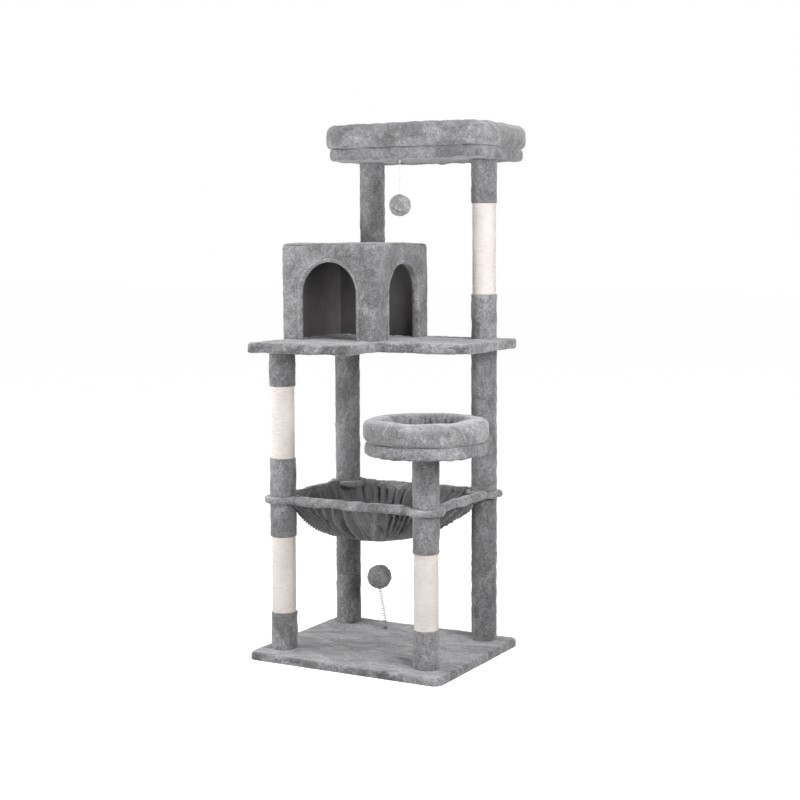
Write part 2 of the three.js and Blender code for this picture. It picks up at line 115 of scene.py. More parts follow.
# ---- Camera ----
def add_camera():
    data = bpy.data.cameras.new("camera")
    data.lens = CAMERA_LENS
    data.shift_y = CAMERA_SHIFT
    camera = bpy.data.objects.new("camera", data)
    SCENE.collection.objects.link(camera)
    turn = Matrix.Rotation(math.radians(CAMERA_YAW), 4, "Z")
    tilt = Matrix.Rotation(math.radians(90 - CAMERA_PITCH), 4, "X")
    roll = Matrix.Rotation(math.radians(CAMERA_ROLL), 4, "Z")
    camera.matrix_world = Matrix.Translation(CAMERA_AT) @ turn @ tilt @ roll
    SCENE.camera = camera


# ---- Mesh helpers ----
def new_piece(name, points, faces, smooth=True):
    mesh = bpy.data.meshes.new(name)
    mesh.from_pydata([tuple(p) for p in np.asarray(points, float)], [], faces)
    mesh.validate()
    shape = bmesh.new()
    shape.from_mesh(mesh)
    bmesh.ops.recalc_face_normals(shape, faces=shape.faces)
    shape.to_mesh(mesh)
    shape.free()
    piece = bpy.data.objects.new(name, mesh)
    SCENE.collection.objects.link(piece)
    if smooth:
        mesh.shade_smooth()
    return piece


def vectors(collection, name):
    found = np.empty(len(collection) * 3, np.float32)
    collection.foreach_get(name, found)
    return found.reshape(-1, 3).astype(float)


def store_vectors(piece, name, values):
    attribute = piece.data.attributes.new(name, "FLOAT_VECTOR", "POINT")
    attribute.data.foreach_set("vector", np.asarray(values, np.float32).ravel())


def coordinates(piece):
    return vectors(piece.data.vertices, "co")


def set_coordinates(piece, points):
    piece.data.vertices.foreach_set("co", np.asarray(points, np.float32).ravel())
    piece.data.update()


def normals(piece):
    return vectors(piece.data.vertices, "normal")


def push_out(piece, distance):
    """Moves every point along its normal, by a distance of its own."""
    set_coordinates(piece, coordinates(piece) + normals(piece) * distance[:, None])


def apply_modifiers(piece):
    """Replaces the mesh by what the modifiers make of it."""
    bpy.context.view_layer.update()
    graph = bpy.context.evaluated_depsgraph_get()
    mesh = bpy.data.meshes.new_from_object(piece.evaluated_get(graph), depsgraph=graph)
    before = piece.data
    piece.modifiers.clear()
    piece.data = mesh
    mesh.name = piece.name
    bpy.data.meshes.remove(before)


def modify(piece, kind, **settings):
    modifier = piece.modifiers.new(kind.lower(), kind)
    for key, value in settings.items():
        setattr(modifier, key, value)
    apply_modifiers(piece)


def remesh(piece, cell, relax):
    modify(piece, "REMESH", mode="VOXEL", voxel_size=cell, use_smooth_shade=True)
    modify(piece, "SMOOTH", factor=0.5, iterations=relax)
    piece.data.shade_smooth()


def subdivide(piece):
    modify(piece, "SUBSURF", levels=1, render_levels=1)
    piece.data.shade_smooth()


def boolean(piece, other, operation="DIFFERENCE"):
    modify(piece, "BOOLEAN", object=other, operation=operation, solver="EXACT")
    bpy.data.objects.remove(other)


def loft(rings, closed=False):
    """Points and faces of the surface through rings of equally many points."""
    rings = np.asarray(rings, float)
    levels, count = rings.shape[:2]
    faces = []
    for r in range(levels if closed else levels - 1):
        low, high = r * count, ((r + 1) % levels) * count
        for i in range(count):
            j = (i + 1) % count
            faces.append((low + i, low + j, high + j, high + i))
    if not closed:
        faces.append(tuple(range(count))[::-1])
        faces.append(tuple((levels - 1) * count + i for i in range(count)))
    return rings.reshape(-1, 3), faces


def turned(profile, centre, sides, closed=False):
    """Points and faces of a solid of revolution, whose profile lists (radius, z)."""
    angles = np.arange(sides) * 2 * math.pi / sides
    circle = np.stack([np.cos(angles), np.sin(angles)], 1)
    rings = []
    for radius, z in profile:
        ring = np.empty((sides, 3))
        ring[:, :2] = np.asarray(centre[:2]) + circle * radius
        ring[:, 2] = z
        rings.append(ring)
    return loft(rings, closed)


def waves(points, size, seed, count=24):
    """A smooth random field of about unit height whose bumps are about the given size."""
    random = np.random.default_rng(seed)
    direction = random.normal(size=(count, 3))
    direction /= np.linalg.norm(direction, axis=1)[:, None]
    length = size * random.uniform(0.7, 1.6, count)
    phase = random.uniform(0, 2 * math.pi, count)
    across = np.asarray(points) @ (direction * (2 * math.pi / length)[:, None]).T
    return np.sin(across + phase).sum(1) * math.sqrt(2 / count)


def roughen(piece, height, size, seed):
    """Pushes the surface in and out along its normals by a smooth random field."""
    push_out(piece, height * waves(coordinates(piece), size, seed))


def corner_turn(corners, i):
    here = np.array(corners[i][:2])
    before = np.array(corners[i - 1][:2]) - here
    after = np.array(corners[(i + 1) % len(corners)][:2]) - here
    before, after = before / np.linalg.norm(before), after / np.linalg.norm(after)
    inward = 1 if before[0] * after[1] - before[1] * after[0] < 0 else -1
    return here, before, after, inward


def outline(corners, steps=8):
    """Points round a right-angled polygon with rounded corners; a corner is (x, y, radius)."""
    points = []
    for i, (_, _, radius) in enumerate(corners):
        here, before, after, _ = corner_turn(corners, i)
        middle = here + (before + after) * radius
        for angle in np.linspace(0, math.pi / 2, steps + 1):
            points.append(middle - radius * (after * math.cos(angle) + before * math.sin(angle)))
    return np.array(points)


def inset(corners, distance):
    moved = []
    for i, (_, _, radius) in enumerate(corners):
        here, before, after, inward = corner_turn(corners, i)
        here = here + (before + after) * distance * inward
        moved.append((here[0], here[1], max(radius - distance * inward, MM)))
    return moved


def rectangle(low, high, radius):
    (x0, y0), (x1, y1) = low[:2], high[:2]
    return [(x0, y0, radius), (x1, y0, radius), (x1, y1, radius), (x0, y1, radius)]


def ring_at(corners, z):
    points = outline(corners)
    return np.column_stack([points, np.full(len(points), z)])


def lower_edge(side, bottom, radius, steps):
    """(across, z) up a rounded lower edge, which ends at the side."""
    return [(side - radius * (1 - math.sin(a)), bottom + radius * (1 - math.cos(a)))
            for a in np.linspace(0, math.pi / 2, steps)]


def upper_edge(side, top, radius, steps):
    """(across, z) up a rounded upper edge, which starts at the side."""
    return [(side - radius * (1 - math.cos(a)), top - radius * (1 - math.sin(a)))
            for a in np.linspace(0, math.pi / 2, steps)]


def soft_slab(name, corners, low, high, edge, under):
    """A slab whose upper edge is rounded by edge, and its lower edge by under."""
    profile = lower_edge(0, low, under, 6) + upper_edge(0, high, edge, 6)
    return new_piece(name, *loft([ring_at(inset(corners, -across), z) for across, z in profile]))


def rounded_section(count, upper, lower):
    """(across, rise) round a section from -1 to 1: the lower a half's power, the boxier it is."""
    points = []
    for a in np.arange(count) * 2 * math.pi / count:
        c, s = math.cos(a), math.sin(a)
        power = upper if s > 0 else lower
        points.append((math.copysign(abs(c) ** power, c), math.copysign(abs(s) ** power, s)))
    return points


def block(name, low, high):
    (x0, y0, z0), (x1, y1, z1) = low, high
    ring = [(x0, y0), (x1, y0), (x1, y1), (x0, y1)]
    return new_piece(name, *loft([[(x, y, z) for x, y in ring] for z in (z0, z1)]), smooth=False)


def tube(path, radius, sides=12, closed=False):
    """Points and faces of a round tube along a path, carried along without twisting."""
    path = np.asarray(path, float)
    if closed:
        along = np.roll(path, -1, 0) - np.roll(path, 1, 0)
    else:
        along = np.gradient(path, axis=0)
    along /= np.linalg.norm(along, axis=1)[:, None]
    side = np.cross(along[0], (0.3, 0.5, 0.8))
    rings = []
    for point, direction in zip(path, along):
        side = side - direction * (side @ direction)
        side /= np.linalg.norm(side)
        other = np.cross(direction, side)
        angles = np.arange(sides) * 2 * math.pi / sides
        rings.append(point + radius * (np.outer(np.cos(angles), side) + np.outer(np.sin(angles), other)))
    return loft(rings, closed)


def inflate(piece, pressure, most, frames=20):
    """Blows the closed mesh up as cloth, without gravity; no point moves further than most."""
    before = coordinates(piece)
    modifier = piece.modifiers.new("cloth", "CLOTH")
    settings = modifier.settings
    settings.use_pressure = True
    settings.uniform_pressure_force = pressure
    settings.effector_weights.gravity = 0
    settings.tension_stiffness = settings.compression_stiffness = 12
    run_cloth(piece, modifier, frames)
    shift = coordinates(piece) - before
    length = np.linalg.norm(shift, axis=1)[:, None]
    shift *= np.minimum(1, most / np.maximum(length, 1e-9))
    set_coordinates(piece, before + shift)


def run_cloth(piece, modifier, frames):
    modifier.point_cache.frame_end = frames
    for number in range(1, frames + 1):
        SCENE.frame_set(number)
    apply_modifiers(piece)
    SCENE.frame_set(1)


# ---- Materials ----
GREY = (0.180, 0.178, 0.183)
SOFT_GREY = (0.208, 0.206, 0.211)
# Painted shade: the hammock's plush is a darker copy of GREY, standing in for the shade in its deep hollow
# and folds
SHADED_SLING_GREY = (0.140, 0.138, 0.142)
BALL_GREY = (0.29, 0.29, 0.292)
SISAL = (0.610, 0.563, 0.532)
FELT = (0.105, 0.100, 0.098)
CHIPBOARD = (0.47, 0.33, 0.19)
CARDBOARD = (0.40, 0.28, 0.17)
STEEL = (0.33, 0.34, 0.36)
STRING = (0.58, 0.575, 0.565)
FLOOR = (0.34, 0.34, 0.34)


def node_material(name):
    material = bpy.data.materials.new(name)
    material.use_nodes = True
    tree = material.node_tree
    return material, tree, tree.nodes["Principled BSDF"]


def add_node(tree, kind, inputs=None, **settings):
    node = tree.nodes.new(kind)
    for key, value in settings.items():
        setattr(node, key, value)
    for key, value in (inputs or {}).items():
        if isinstance(value, bpy.types.NodeSocket):
            tree.links.new(value, node.inputs[key])
        else:
            node.inputs[key].default_value = value
    return node


def noise(tree, place, scale, detail=2, roughness=0.5, distortion=0.0):
    inputs = {"Scale": scale, "Detail": detail, "Roughness": roughness, "Distortion": distortion}
    return add_node(tree, "ShaderNodeTexNoise", {"Vector": place, **inputs}).outputs["Fac"]


def spread(tree, value, low, high, to_low, to_high):
    """Maps a value from one range to another, smoothly and within the limits."""
    inputs = {"Value": value, "From Min": low, "From Max": high, "To Min": to_low, "To Max": to_high}
    node = add_node(tree, "ShaderNodeMapRange", inputs, interpolation_type="SMOOTHSTEP")
    return node.outputs["Result"]


def combined(tree, operation, values):
    result = values[0]
    for value in values[1:]:
        result = add_node(tree, "ShaderNodeMath", {0: result, 1: value}, operation=operation).outputs[0]
    return result


def product(tree, *values):
    return combined(tree, "MULTIPLY", values)


def total(tree, *values):
    return combined(tree, "ADD", values)


def paint(tree, shader, color, factor):
    """Gives the shader its colour, made darker or lighter by a factor."""
    node = add_node(tree, "ShaderNodeVectorMath", {0: color, "Scale": factor}, operation="SCALE")
    tree.links.new(node.outputs["Vector"], shader.inputs["Base Color"])


def bump(tree, shader, height, distance, strength=1.0):
    node = add_node(tree, "ShaderNodeBump", {"Height": height, "Distance": distance, "Strength": strength})
    tree.links.new(node.outputs["Normal"], shader.inputs["Normal"])


def place_of(tree, stretch=(1, 1, 1)):
    where = add_node(tree, "ShaderNodeTexCoord").outputs["Object"]
    return add_node(tree, "ShaderNodeMapping", {"Vector": where, "Scale": stretch}).outputs["Vector"]


def plush_material(name, color, stroke=(1, 1, 1), pile=1.0, mottle=1.0):
    """Short pile: brushed patches, small tufts and fine hair, with a soft sheen at grazing angles."""
    material, tree, shader = node_material(name)
    here = place_of(tree)
    patches = noise(tree, place_of(tree, stroke), 11, 3, 0.6, 0.8)
    tufts = noise(tree, place_of(tree, stroke), 62, 3, 0.65, 0.6)
    locks = noise(tree, here, 230, 2, 0.6, 0.5)
    hair = noise(tree, here, 620, 2, 0.6)
    factor = product(
        tree,
        spread(tree, patches, 0.34, 0.66, 1 - 0.27 * mottle, 1 + 0.24 * mottle),
        spread(tree, tufts, 0.34, 0.66, 1 - 0.17 * mottle, 1 + 0.15 * mottle),
        spread(tree, locks, 0.3, 0.7, 1 - 0.32 * pile, 1 + 0.32 * pile),
        spread(tree, hair, 0.3, 0.7, 1 - 0.25 * pile, 1 + 0.25 * pile),
    )
    paint(tree, shader, color, factor)
    height = total(tree, product(tree, tufts, 2.2), locks, product(tree, hair, 0.5))
    bump(tree, shader, height, 2.0 * MM, 0.8)
    shader.inputs["Roughness"].default_value = 0.95
    shader.inputs["Specular IOR Level"].default_value = 0.15
    shader.inputs["Sheen Weight"].default_value = 0.5
    shader.inputs["Sheen Roughness"].default_value = 0.4
    shader.inputs["Sheen Tint"].default_value = (0.9, 0.9, 0.92, 1)
    return material


def sisal_material():
    """Wound rope: fibres run along each turn, read from the winding attribute of the mesh."""
    material, tree, shader = node_material("sisal")
    wound = add_node(tree, "ShaderNodeAttribute", attribute_name="winding").outputs["Vector"]
    along = add_node(tree, "ShaderNodeMapping", {"Vector": wound, "Scale": (40, 900, 1)}).outputs["Vector"]
    twist = add_node(
        tree, "ShaderNodeMapping",
        {"Vector": wound, "Rotation": (0, 0, 0.9), "Scale": (330, 330, 1)},
    ).outputs["Vector"]
    fibres = noise(tree, along, 1, 3, 0.6)
    strands = add_node(
        tree, "ShaderNodeTexWave", {"Vector": twist, "Scale": 0.32, "Distortion": 1.5, "Detail": 2}
    ).outputs["Fac"]
    stains = noise(tree, place_of(tree), 18, 3)
    factor = product(
        tree,
        spread(tree, fibres, 0.25, 0.75, 0.84, 1.08),
        spread(tree, strands, 0, 1, 0.93, 1.03),
        spread(tree, stains, 0.3, 0.7, 0.95, 1.04),
    )
    paint(tree, shader, SISAL, factor)
    bump(tree, shader, total(tree, product(tree, strands, 0.6), fibres), 0.8 * MM, 0.7)
    shader.inputs["Roughness"].default_value = 0.85
    shader.inputs["Specular IOR Level"].default_value = 0.25
    shader.inputs["Sheen Weight"].default_value = 0.08
    return material


def felt_material():
    material, tree, shader = node_material("felt_panel")
    here = place_of(tree)
    cloud = noise(tree, here, 22, 4, 0.6, 0.5)
    fibre = noise(tree, here, 480, 3, 0.7, 1.2)
    factor = product(
        tree, spread(tree, cloud, 0.3, 0.7, 0.88, 1.1), spread(tree, fibre, 0.25, 0.75, 0.8, 1.18)
    )
    paint(tree, shader, FELT, factor)
    bump(tree, shader, fibre, 0.7 * MM, 0.6)
    shader.inputs["Roughness"].default_value = 0.92
    shader.inputs["Sheen Weight"].default_value = 0.15
    return material


def chipboard_material():
    """Pressed chips: flat cells of several browns with dark gaps."""
    material, tree, shader = node_material("chipboard")
    here = place_of(tree, (1, 1, 2.5))
    chips = add_node(tree, "ShaderNodeTexVoronoi", {"Vector": here, "Scale": 260, "Randomness": 1.0})
    tone = add_node(tree, "ShaderNodeSeparateColor", {0: chips.outputs["Color"]}).outputs[0]
    grain = noise(tree, here, 900, 2)
    factor = product(tree, spread(tree, tone, 0, 1, 0.68, 1.25), spread(tree, grain, 0.3, 0.7, 0.88, 1.1))
    paint(tree, shader, CHIPBOARD, factor)
    bump(tree, shader, product(tree, chips.outputs["Distance"], 1.5), 0.4 * MM, 0.6)
    shader.inputs["Roughness"].default_value = 0.8
    return material


def cardboard_material():
    material, tree, shader = node_material("cardboard")
    layers = add_node(
        tree, "ShaderNodeTexWave",
        {"Vector": place_of(tree), "Scale": 14, "Distortion": 1.0, "Detail": 2}, bands_direction="DIAGONAL",
    ).outputs["Fac"]
    pulp = noise(tree, place_of(tree), 420, 3)
    factor = product(tree, spread(tree, layers, 0, 1, 0.9, 1.06), spread(tree, pulp, 0.3, 0.7, 0.88, 1.1))
    paint(tree, shader, CARDBOARD, factor)
    bump(tree, shader, pulp, 0.3 * MM, 0.5)
    shader.inputs["Roughness"].default_value = 0.85
    return material


def steel_material():
    material, tree, shader = node_material("steel")
    marks = noise(tree, place_of(tree, (1, 1, 8)), 300, 3, 0.6)
    paint(tree, shader, STEEL, spread(tree, marks, 0.3, 0.7, 0.85, 1.1))
    tree.links.new(spread(tree, marks, 0.2, 0.8, 0.24, 0.42), shader.inputs["Roughness"])
    bump(tree, shader, marks, 0.1 * MM, 0.4)
    shader.inputs["Metallic"].default_value = 1.0
    return material


def string_material():
    material, tree, shader = node_material("string")
    braid = add_node(
        tree, "ShaderNodeTexWave",
        {"Vector": place_of(tree), "Scale": 260, "Distortion": 1.0}, bands_direction="DIAGONAL",
    ).outputs["Fac"]
    paint(tree, shader, STRING, spread(tree, braid, 0, 1, 0.82, 1.04))
    bump(tree, shader, braid, 0.3 * MM, 0.7)
    shader.inputs["Roughness"].default_value = 0.75
    return material


def make_materials():
    return {
        "plush": plush_material("plush", GREY),
        "plush_post": plush_material("plush_post", GREY, stroke=(1, 1, 0.55)),
        "plush_deck": plush_material("plush_deck", GREY, stroke=(1.0, 2.4, 1.5), mottle=1.5),
        "plush_soft": plush_material("plush_soft", SOFT_GREY, pile=0.9),
        # Painted shade: the hammock takes a darker copy of the plush
        "plush_sling": plush_material("plush_sling", SHADED_SLING_GREY, pile=0.6, mottle=0.5),
        "sisal": sisal_material(),
        "felt_panel": felt_material(),
        "chipboard": chipboard_material(),
        "cardboard": cardboard_material(),
        "steel": steel_material(),
        "string": string_material(),
        "pom_pom": plush_material("pom_pom", BALL_GREY, mottle=0.8),
    }


def finish_piece(piece, material, replaces=(), body="root"):
    piece.data.materials.clear()
    piece.data.materials.append(MATERIALS[material])
    if body:
        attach(piece, body)
    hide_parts(*replaces)


def dress_cad_nodes():
    """Every CAD node takes the node material of its slot; a replaced one isn't shown."""
    slots = {part["node"]: part["material_slot"] for part in frame["record"]["subparts"]}
    for name, node in frame["nodes"].items():
        node.data.materials.clear()
        node.data.materials.append(MATERIALS[slots[name]])


# ---- Toys ----
def add_toy_string():
    """The hanging toy: a tack, a tied knot and a limp string at its full length."""
    sunk = 1.5 * MM  # how far the string goes into the ball
    x, y = centre_of("pom_pom")[:2]
    top, end = box("string_knot")[0][2], box("pom_pom")[1][2] - sunk
    route = [(x, y, z) for z in np.linspace(top, end, 24)]
    string = new_piece("toy_string_cord", *tube(route, STRING_DIAMETER / 2, 10))
    finish_piece(string, "string", ["toy_string"], "hanging_toy")

    turn = np.linspace(0, 2 * math.pi, 73)[:-1]
    trefoil = np.stack([
        np.sin(turn) + 2 * np.sin(2 * turn), -np.sin(3 * turn), np.cos(turn) - 2 * np.cos(2 * turn),
    ], 1)
    size = np.array([1.0625, 1.0125, 1.0625]) * MM
    strand = 0.9 * MM
    knot = new_piece("string_knot_tied",
                     *tube(trefoil * size + centre_of("string_knot"), strand, 8, closed=True))
    finish_piece(knot, "string", ["string_knot"], "toy_knot")

    _, radius, bottom, top = round_box("string_tack")
    rise, bevel = 1.2 * MM, 0.2 * MM
    dome = [(radius * math.cos(a), bottom + rise * (1 - math.sin(a)))
            for a in np.linspace(math.pi / 2 - 0.05, 0, 8)]
    profile = dome + [(radius, top - bevel), (radius - bevel, top)]
    tack = new_piece("string_tack_head", *turned(profile, (x, y), 40))
    finish_piece(tack, "steel", ["string_tack"])


def fuzzy_ball(name, centre, radius, seed, tuft):
    """A ball of cut yarn: the surface breaks into thousands of short strands."""
    mesh = bpy.data.meshes.new(name)
    shape = bmesh.new()
    bmesh.ops.create_icosphere(shape, subdivisions=6, radius=1)
    shape.to_mesh(mesh)
    shape.free()
    ball = bpy.data.objects.new(name, mesh)
    SCENE.collection.objects.link(ball)
    unit = coordinates(ball)
    unit /= np.linalg.norm(unit, axis=1)[:, None]
    random = np.random.default_rng(seed)
    strand = random.uniform(0, 1, len(unit)) ** 2
    clump = waves(unit, 0.35, seed) * 0.02 + waves(unit, 0.12, seed + 1) * 0.015
    reach = radius * (0.945 + clump + 0.085 * strand)
    if tuft:
        near_top = np.clip((unit[:, 2] - 0.93) / 0.07, 0, 1)
        reach += radius * 0.10 * near_top * random.uniform(0.2, 1, len(unit))
    set_coordinates(ball, np.asarray(centre) + unit * np.minimum(reach, radius * 1.06)[:, None])
    mesh.shade_smooth()
    return ball


def add_balls():
    balls = [
        ("pom_pom_ball", "hanging_toy", "pom_pom", 11, True),
        ("spring_toy_ball", "spring_top", "spring_ball", 12, False),
    ]
    for name, body, node, seed, tuft in balls:
        low, high = box(node)
        ball = fuzzy_ball(name, (low + high) / 2, (high[2] - low[2]) / 2, seed, tuft)
        finish_piece(ball, "pom_pom", [node], body)


def add_spring():
    """A coil spring in two halves that meet in the middle."""
    wire, radius, turns = 0.9 * MM, 5.5 * MM, 16
    foot, rim, low, high = round_box("spring_foot")
    ball, _, ball_bottom, _ = round_box("spring_ball")
    bottom = np.array([foot[0], foot[1], high + wire])
    top = np.array([ball[0], ball[1], ball_bottom + wire])
    middle_z = (box("spring_lower")[1][2] + box("spring_upper")[0][2]) / 2
    share = (middle_z - bottom[2]) / (top[2] - bottom[2])

    def coil(t):
        angle = 2 * math.pi * turns * t
        spin = np.stack([np.cos(angle), np.sin(angle), np.zeros_like(t)], 1) * radius
        return bottom + (top - bottom) * t[:, None] + spin

    halves = [
        ("spring_lower_coil", 0, share, "root", "spring_link", "spring_lower"),
        ("spring_upper_coil", share, 1, "spring_link", "spring_top", "spring_upper"),
    ]
    for name, start, end, below, above, node in halves:
        t = np.linspace(start, end, 220)
        piece = new_piece(name, *tube(coil(t), wire, 8))
        finish_piece(piece, "steel", [node], None)
        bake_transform(piece)

    low -= GAP
    profile = [
        (rim - 0.5 * MM, low), (rim, low + 0.6 * MM), (rim - 0.6 * MM, low + 1.3 * MM),
        (rim * 0.62, low + 1.7 * MM), (rim * 0.55, high - 0.4 * MM), (rim * 0.48, high), (0.1 * MM, high),
    ]
    plate = new_piece("spring_foot_plate", *turned(profile, foot, 48))
    finish_piece(plate, "steel", ["spring_foot"])


# ---- Posts ----
def add_sleeve(node, seed):
    """A plush sleeve: soft ends, a little unevenness and a glued seam turned to the back left."""
    centre, outer, bottom, top = round_box(node)
    inner = outer - SLEEVE_WALL
    edge, step = 2.2 * MM, 5 * MM
    side = np.linspace(bottom + edge, top - edge, max(3, int((top - bottom) / step)))
    profile = lower_edge(outer, bottom, edge, 5)[:-1] + [(outer, z) for z in side]
    profile += upper_edge(outer, top, edge, 5)[1:] + [(inner, top), (inner, bottom)]
    piece = new_piece(node + "_sleeve", *turned(profile, centre, POST_SIDES, closed=True))
    points = coordinates(piece)
    flat = points[:, :2] - centre[:2]
    radius = np.linalg.norm(flat, axis=1)
    outside = radius > inner + 1.5 * MM
    push = 0.45 * MM * waves(points, 45 * MM, seed) + 0.3 * MM * waves(points, 14 * MM, seed + 1)
    angle = np.arctan2(flat[:, 1], flat[:, 0])
    seam_at = 2.45 + 0.01 * np.sin(points[:, 2] * 60)
    seam_depth, seam_half = 1.1 * MM, 2.2 * MM
    push -= seam_depth * np.exp(-((angle - seam_at) * radius / seam_half) ** 2)
    push += 0.25 * MM * np.exp(-((points[:, 2] - bottom) / (6 * MM)) ** 2)
    flat *= (1 + np.where(outside, push, 0) / radius)[:, None]
    points[:, :2] = centre[:2] + flat
    near_end = outside & ((points[:, 2] - bottom < 3 * MM) | (top - points[:, 2] < 3 * MM))
    points[:, 2] += np.where(near_end, 0.35 * MM * np.sin(angle * 9 + seed), 0)
    set_coordinates(piece, points)
    finish_piece(piece, "plush_post", [node])


def add_winding(node, seed):
    """Sisal rope wound tightly: one long ridge climbs the post."""
    centre, outer, bottom, top = round_box(node)
    inner = outer - WINDING_WALL
    rows_a_turn = 7
    rows = int((top - bottom) / ROPE * rows_a_turn)
    levels = np.linspace(bottom, top, rows)
    angles = np.arange(POST_SIDES) * 2 * math.pi / POST_SIDES
    z, angle = np.meshgrid(levels, angles, indexing="ij")
    climb = z / ROPE - angle / (2 * math.pi)
    across = (climb % 1) * 2 - 1
    most_turns = 997
    random = np.random.default_rng(seed)
    turn_number = np.floor(climb).astype(int) % most_turns
    uneven = random.uniform(-0.18, 0.12, most_turns)[turn_number] * MM
    ridge = 1.5 * MM
    radius = outer - ridge + ridge * np.sqrt(np.maximum(0, 1 - across ** 2 * 0.96)) + uneven
    rings = np.stack([centre[0] + radius * np.cos(angle), centre[1] + radius * np.sin(angle), z], 2)
    wall = turned([(inner, top), (inner, bottom)], centre, POST_SIDES)[0].reshape(2, POST_SIDES, 3)
    piece = new_piece(node + "_winding", *loft(np.concatenate([rings, wall]), closed=True))
    wound = np.zeros((len(piece.data.vertices), 3))
    wound[: rows * POST_SIDES, 0] = (angle * outer).ravel()
    wound[: rows * POST_SIDES, 1] = (z - angle / (2 * math.pi) * ROPE).ravel()
    store_vectors(piece, "winding", wound)
    finish_piece(piece, "sisal", [node])


def add_posts():
    for seed, node in enumerate(sorted(frame["nodes"]), 100):
        if node.endswith("_sisal"):
            add_winding(node, seed)
        elif node.endswith(("_plush", "_plush_bottom", "_plush_top")):
            add_sleeve(node, seed)


# ---- Covered boards ----
def add_base_cover():
    low, high = box("base_cover")
    corners = rectangle(low, high, 24 * MM)
    cover = soft_slab("base_cover_plush", corners, low[2] - TRIM, high[2] + PILE, edge=6 * MM, under=MM)
    remesh(cover, 4 * MM, relax=2)
    roughen(cover, 0.35 * MM, 60 * MM, 21)
    roughen(cover, 0.22 * MM, 16 * MM, 22)
    boolean(cover, block("floor_cut", (-1, -1, -0.1), (1, 1, 0.2 * MM)))
    board_low, board_high = box("base_board")
    inner = rectangle(board_low - GAP, board_high + GAP, 20 * MM)
    cavity = soft_slab("cavity", inner, low[2] - TRIM, board_high[2] + GAP, edge=0.5 * MM, under=0.5 * MM)
    boolean(cover, cavity)
    cover.data.set_sharp_from_angle(angle=math.radians(50))
    finish_piece(cover, "plush_deck", ["base_cover"])


def add_platform_cover():
    """The platform is L-shaped: its front right corner is cut out above the round bed."""
    low, high = box("platform_cover")
    condo_low, condo_high = box("condo_cover")
    notch = (condo_high[0] + 15 * MM, condo_low[1] - 12 * MM)
    r = 24 * MM
    corners = [
        (low[0], low[1], r), (notch[0], low[1], r), (notch[0], notch[1], r / 2),
        (high[0], notch[1], r), (high[0], high[1], r), (low[0], high[1], r),
    ]
    cover = soft_slab("platform_cover_plush", corners, low[2], high[2] + PILE, edge=8 * MM, under=5 * MM)
    remesh(cover, 3 * MM, relax=2)
    roughen(cover, 0.6 * MM, 70 * MM, 31)
    roughen(cover, 0.3 * MM, 16 * MM, 32)
    for x, y, radius in corners:
        pleat(cover, (x, y), radius)
    finish_piece(cover, "plush_deck", ["platform_cover"])


def pleat(cover, corner, radius):
    """Cloth pulled round a corner leaves short upright tucks in its edge."""
    depth = 2.6 * MM
    away = coordinates(cover)[:, :2] - corner
    reach = np.linalg.norm(away, axis=1)
    level = np.abs(normals(cover)[:, 2])
    across = away[:, 0] - away[:, 1]
    tucks = np.exp(-(across / (3.5 * MM)) ** 2) + 0.5 * np.exp(-((across - 13 * MM) / (3 * MM)) ** 2)
    share = np.exp(-(reach / (radius + 5 * MM)) ** 4) * (1 - level)
    push_out(cover, -depth * tucks * share)


def add_perch():
    low, high = box("perch_cover")
    corners = rectangle(low, high, 50 * MM)
    cover = soft_slab("perch_cover_plush", corners, low[2], high[2], edge=9 * MM, under=6 * MM)
    remesh(cover, 4 * MM, relax=2)
    roughen(cover, 0.8 * MM, 55 * MM, 41)
    roughen(cover, 0.3 * MM, 15 * MM, 42)
    pucker(cover, low[2] + 4 * MM, 0.9 * MM, 43)
    corner_gathers(cover, corners, 46)
    finish_piece(cover, "plush", ["perch_cover"])

    low, high = box("perch_bolster")
    rim = rectangle(low - MM, high + MM, PERCH_CORNER)
    middle, half = (low[2] + high[2]) / 2, (high[2] - low[2]) / 2
    rings = []
    for across, rise in bolster_section():
        level = middle + rise * (half + (MM if rise > 0 else 0))
        rings.append(ring_at(inset(rim, PERCH_RIM / 2 * (1 - across)), level))
    bolster = new_piece("perch_bolster_stuffed", *loft(rings, closed=True))
    stuff(bolster, 6 * MM, pressure=4, most=5 * MM, floor=low[2])
    roughen(bolster, 0.9 * MM, 60 * MM, 44)
    roughen(bolster, 0.35 * MM, 18 * MM, 45)
    corner_tucks(bolster, low, high)
    finish_piece(bolster, "plush_soft", ["perch_bolster"])


def corner_gathers(cover, corners, seed):
    """Cloth eased round a wide corner stands in small upright folds."""
    height, span = 1.5 * MM, 75 * MM
    points = coordinates(cover)
    near = np.min([np.linalg.norm(points[:, :2] - (x, y), axis=1) for x, y, _ in corners], axis=0)
    share = np.clip(1.3 - near / span, 0, 1) * (1 - np.abs(normals(cover)[:, 2]))
    folds = np.abs(waves(points * (1, 1, 0.25), 20 * MM, seed)) - 0.6
    push_out(cover, height * folds * share)


def bolster_section():
    """Round a stuffed bolster: full at the top, and boxier where it rests on its board."""
    return rounded_section(32, upper=0.58, lower=0.45)


def stuff(piece, cell, pressure, most, floor):
    """Blows the piece up, and flattens what would reach below the face that it rests on."""
    remesh(piece, cell, relax=1)
    inflate(piece, pressure, most)
    points = coordinates(piece)
    points[:, 2] = np.maximum(points[:, 2], floor)
    set_coordinates(piece, points)
    subdivide(piece)


def pucker(piece, level, depth, seed):
    """Small gathers where cloth is pulled under an edge, strongest below the level."""
    points = coordinates(piece)
    centre = points.mean(0)
    angle = np.arctan2(points[:, 1] - centre[1], points[:, 0] - centre[0])
    ripple = waves(np.stack([np.cos(angle), np.sin(angle), points[:, 2] * 4], 1), 0.16, seed)
    share = np.clip(1 - (points[:, 2] - level) / (12 * MM), 0, 1)
    push_out(piece, ripple * depth * share)


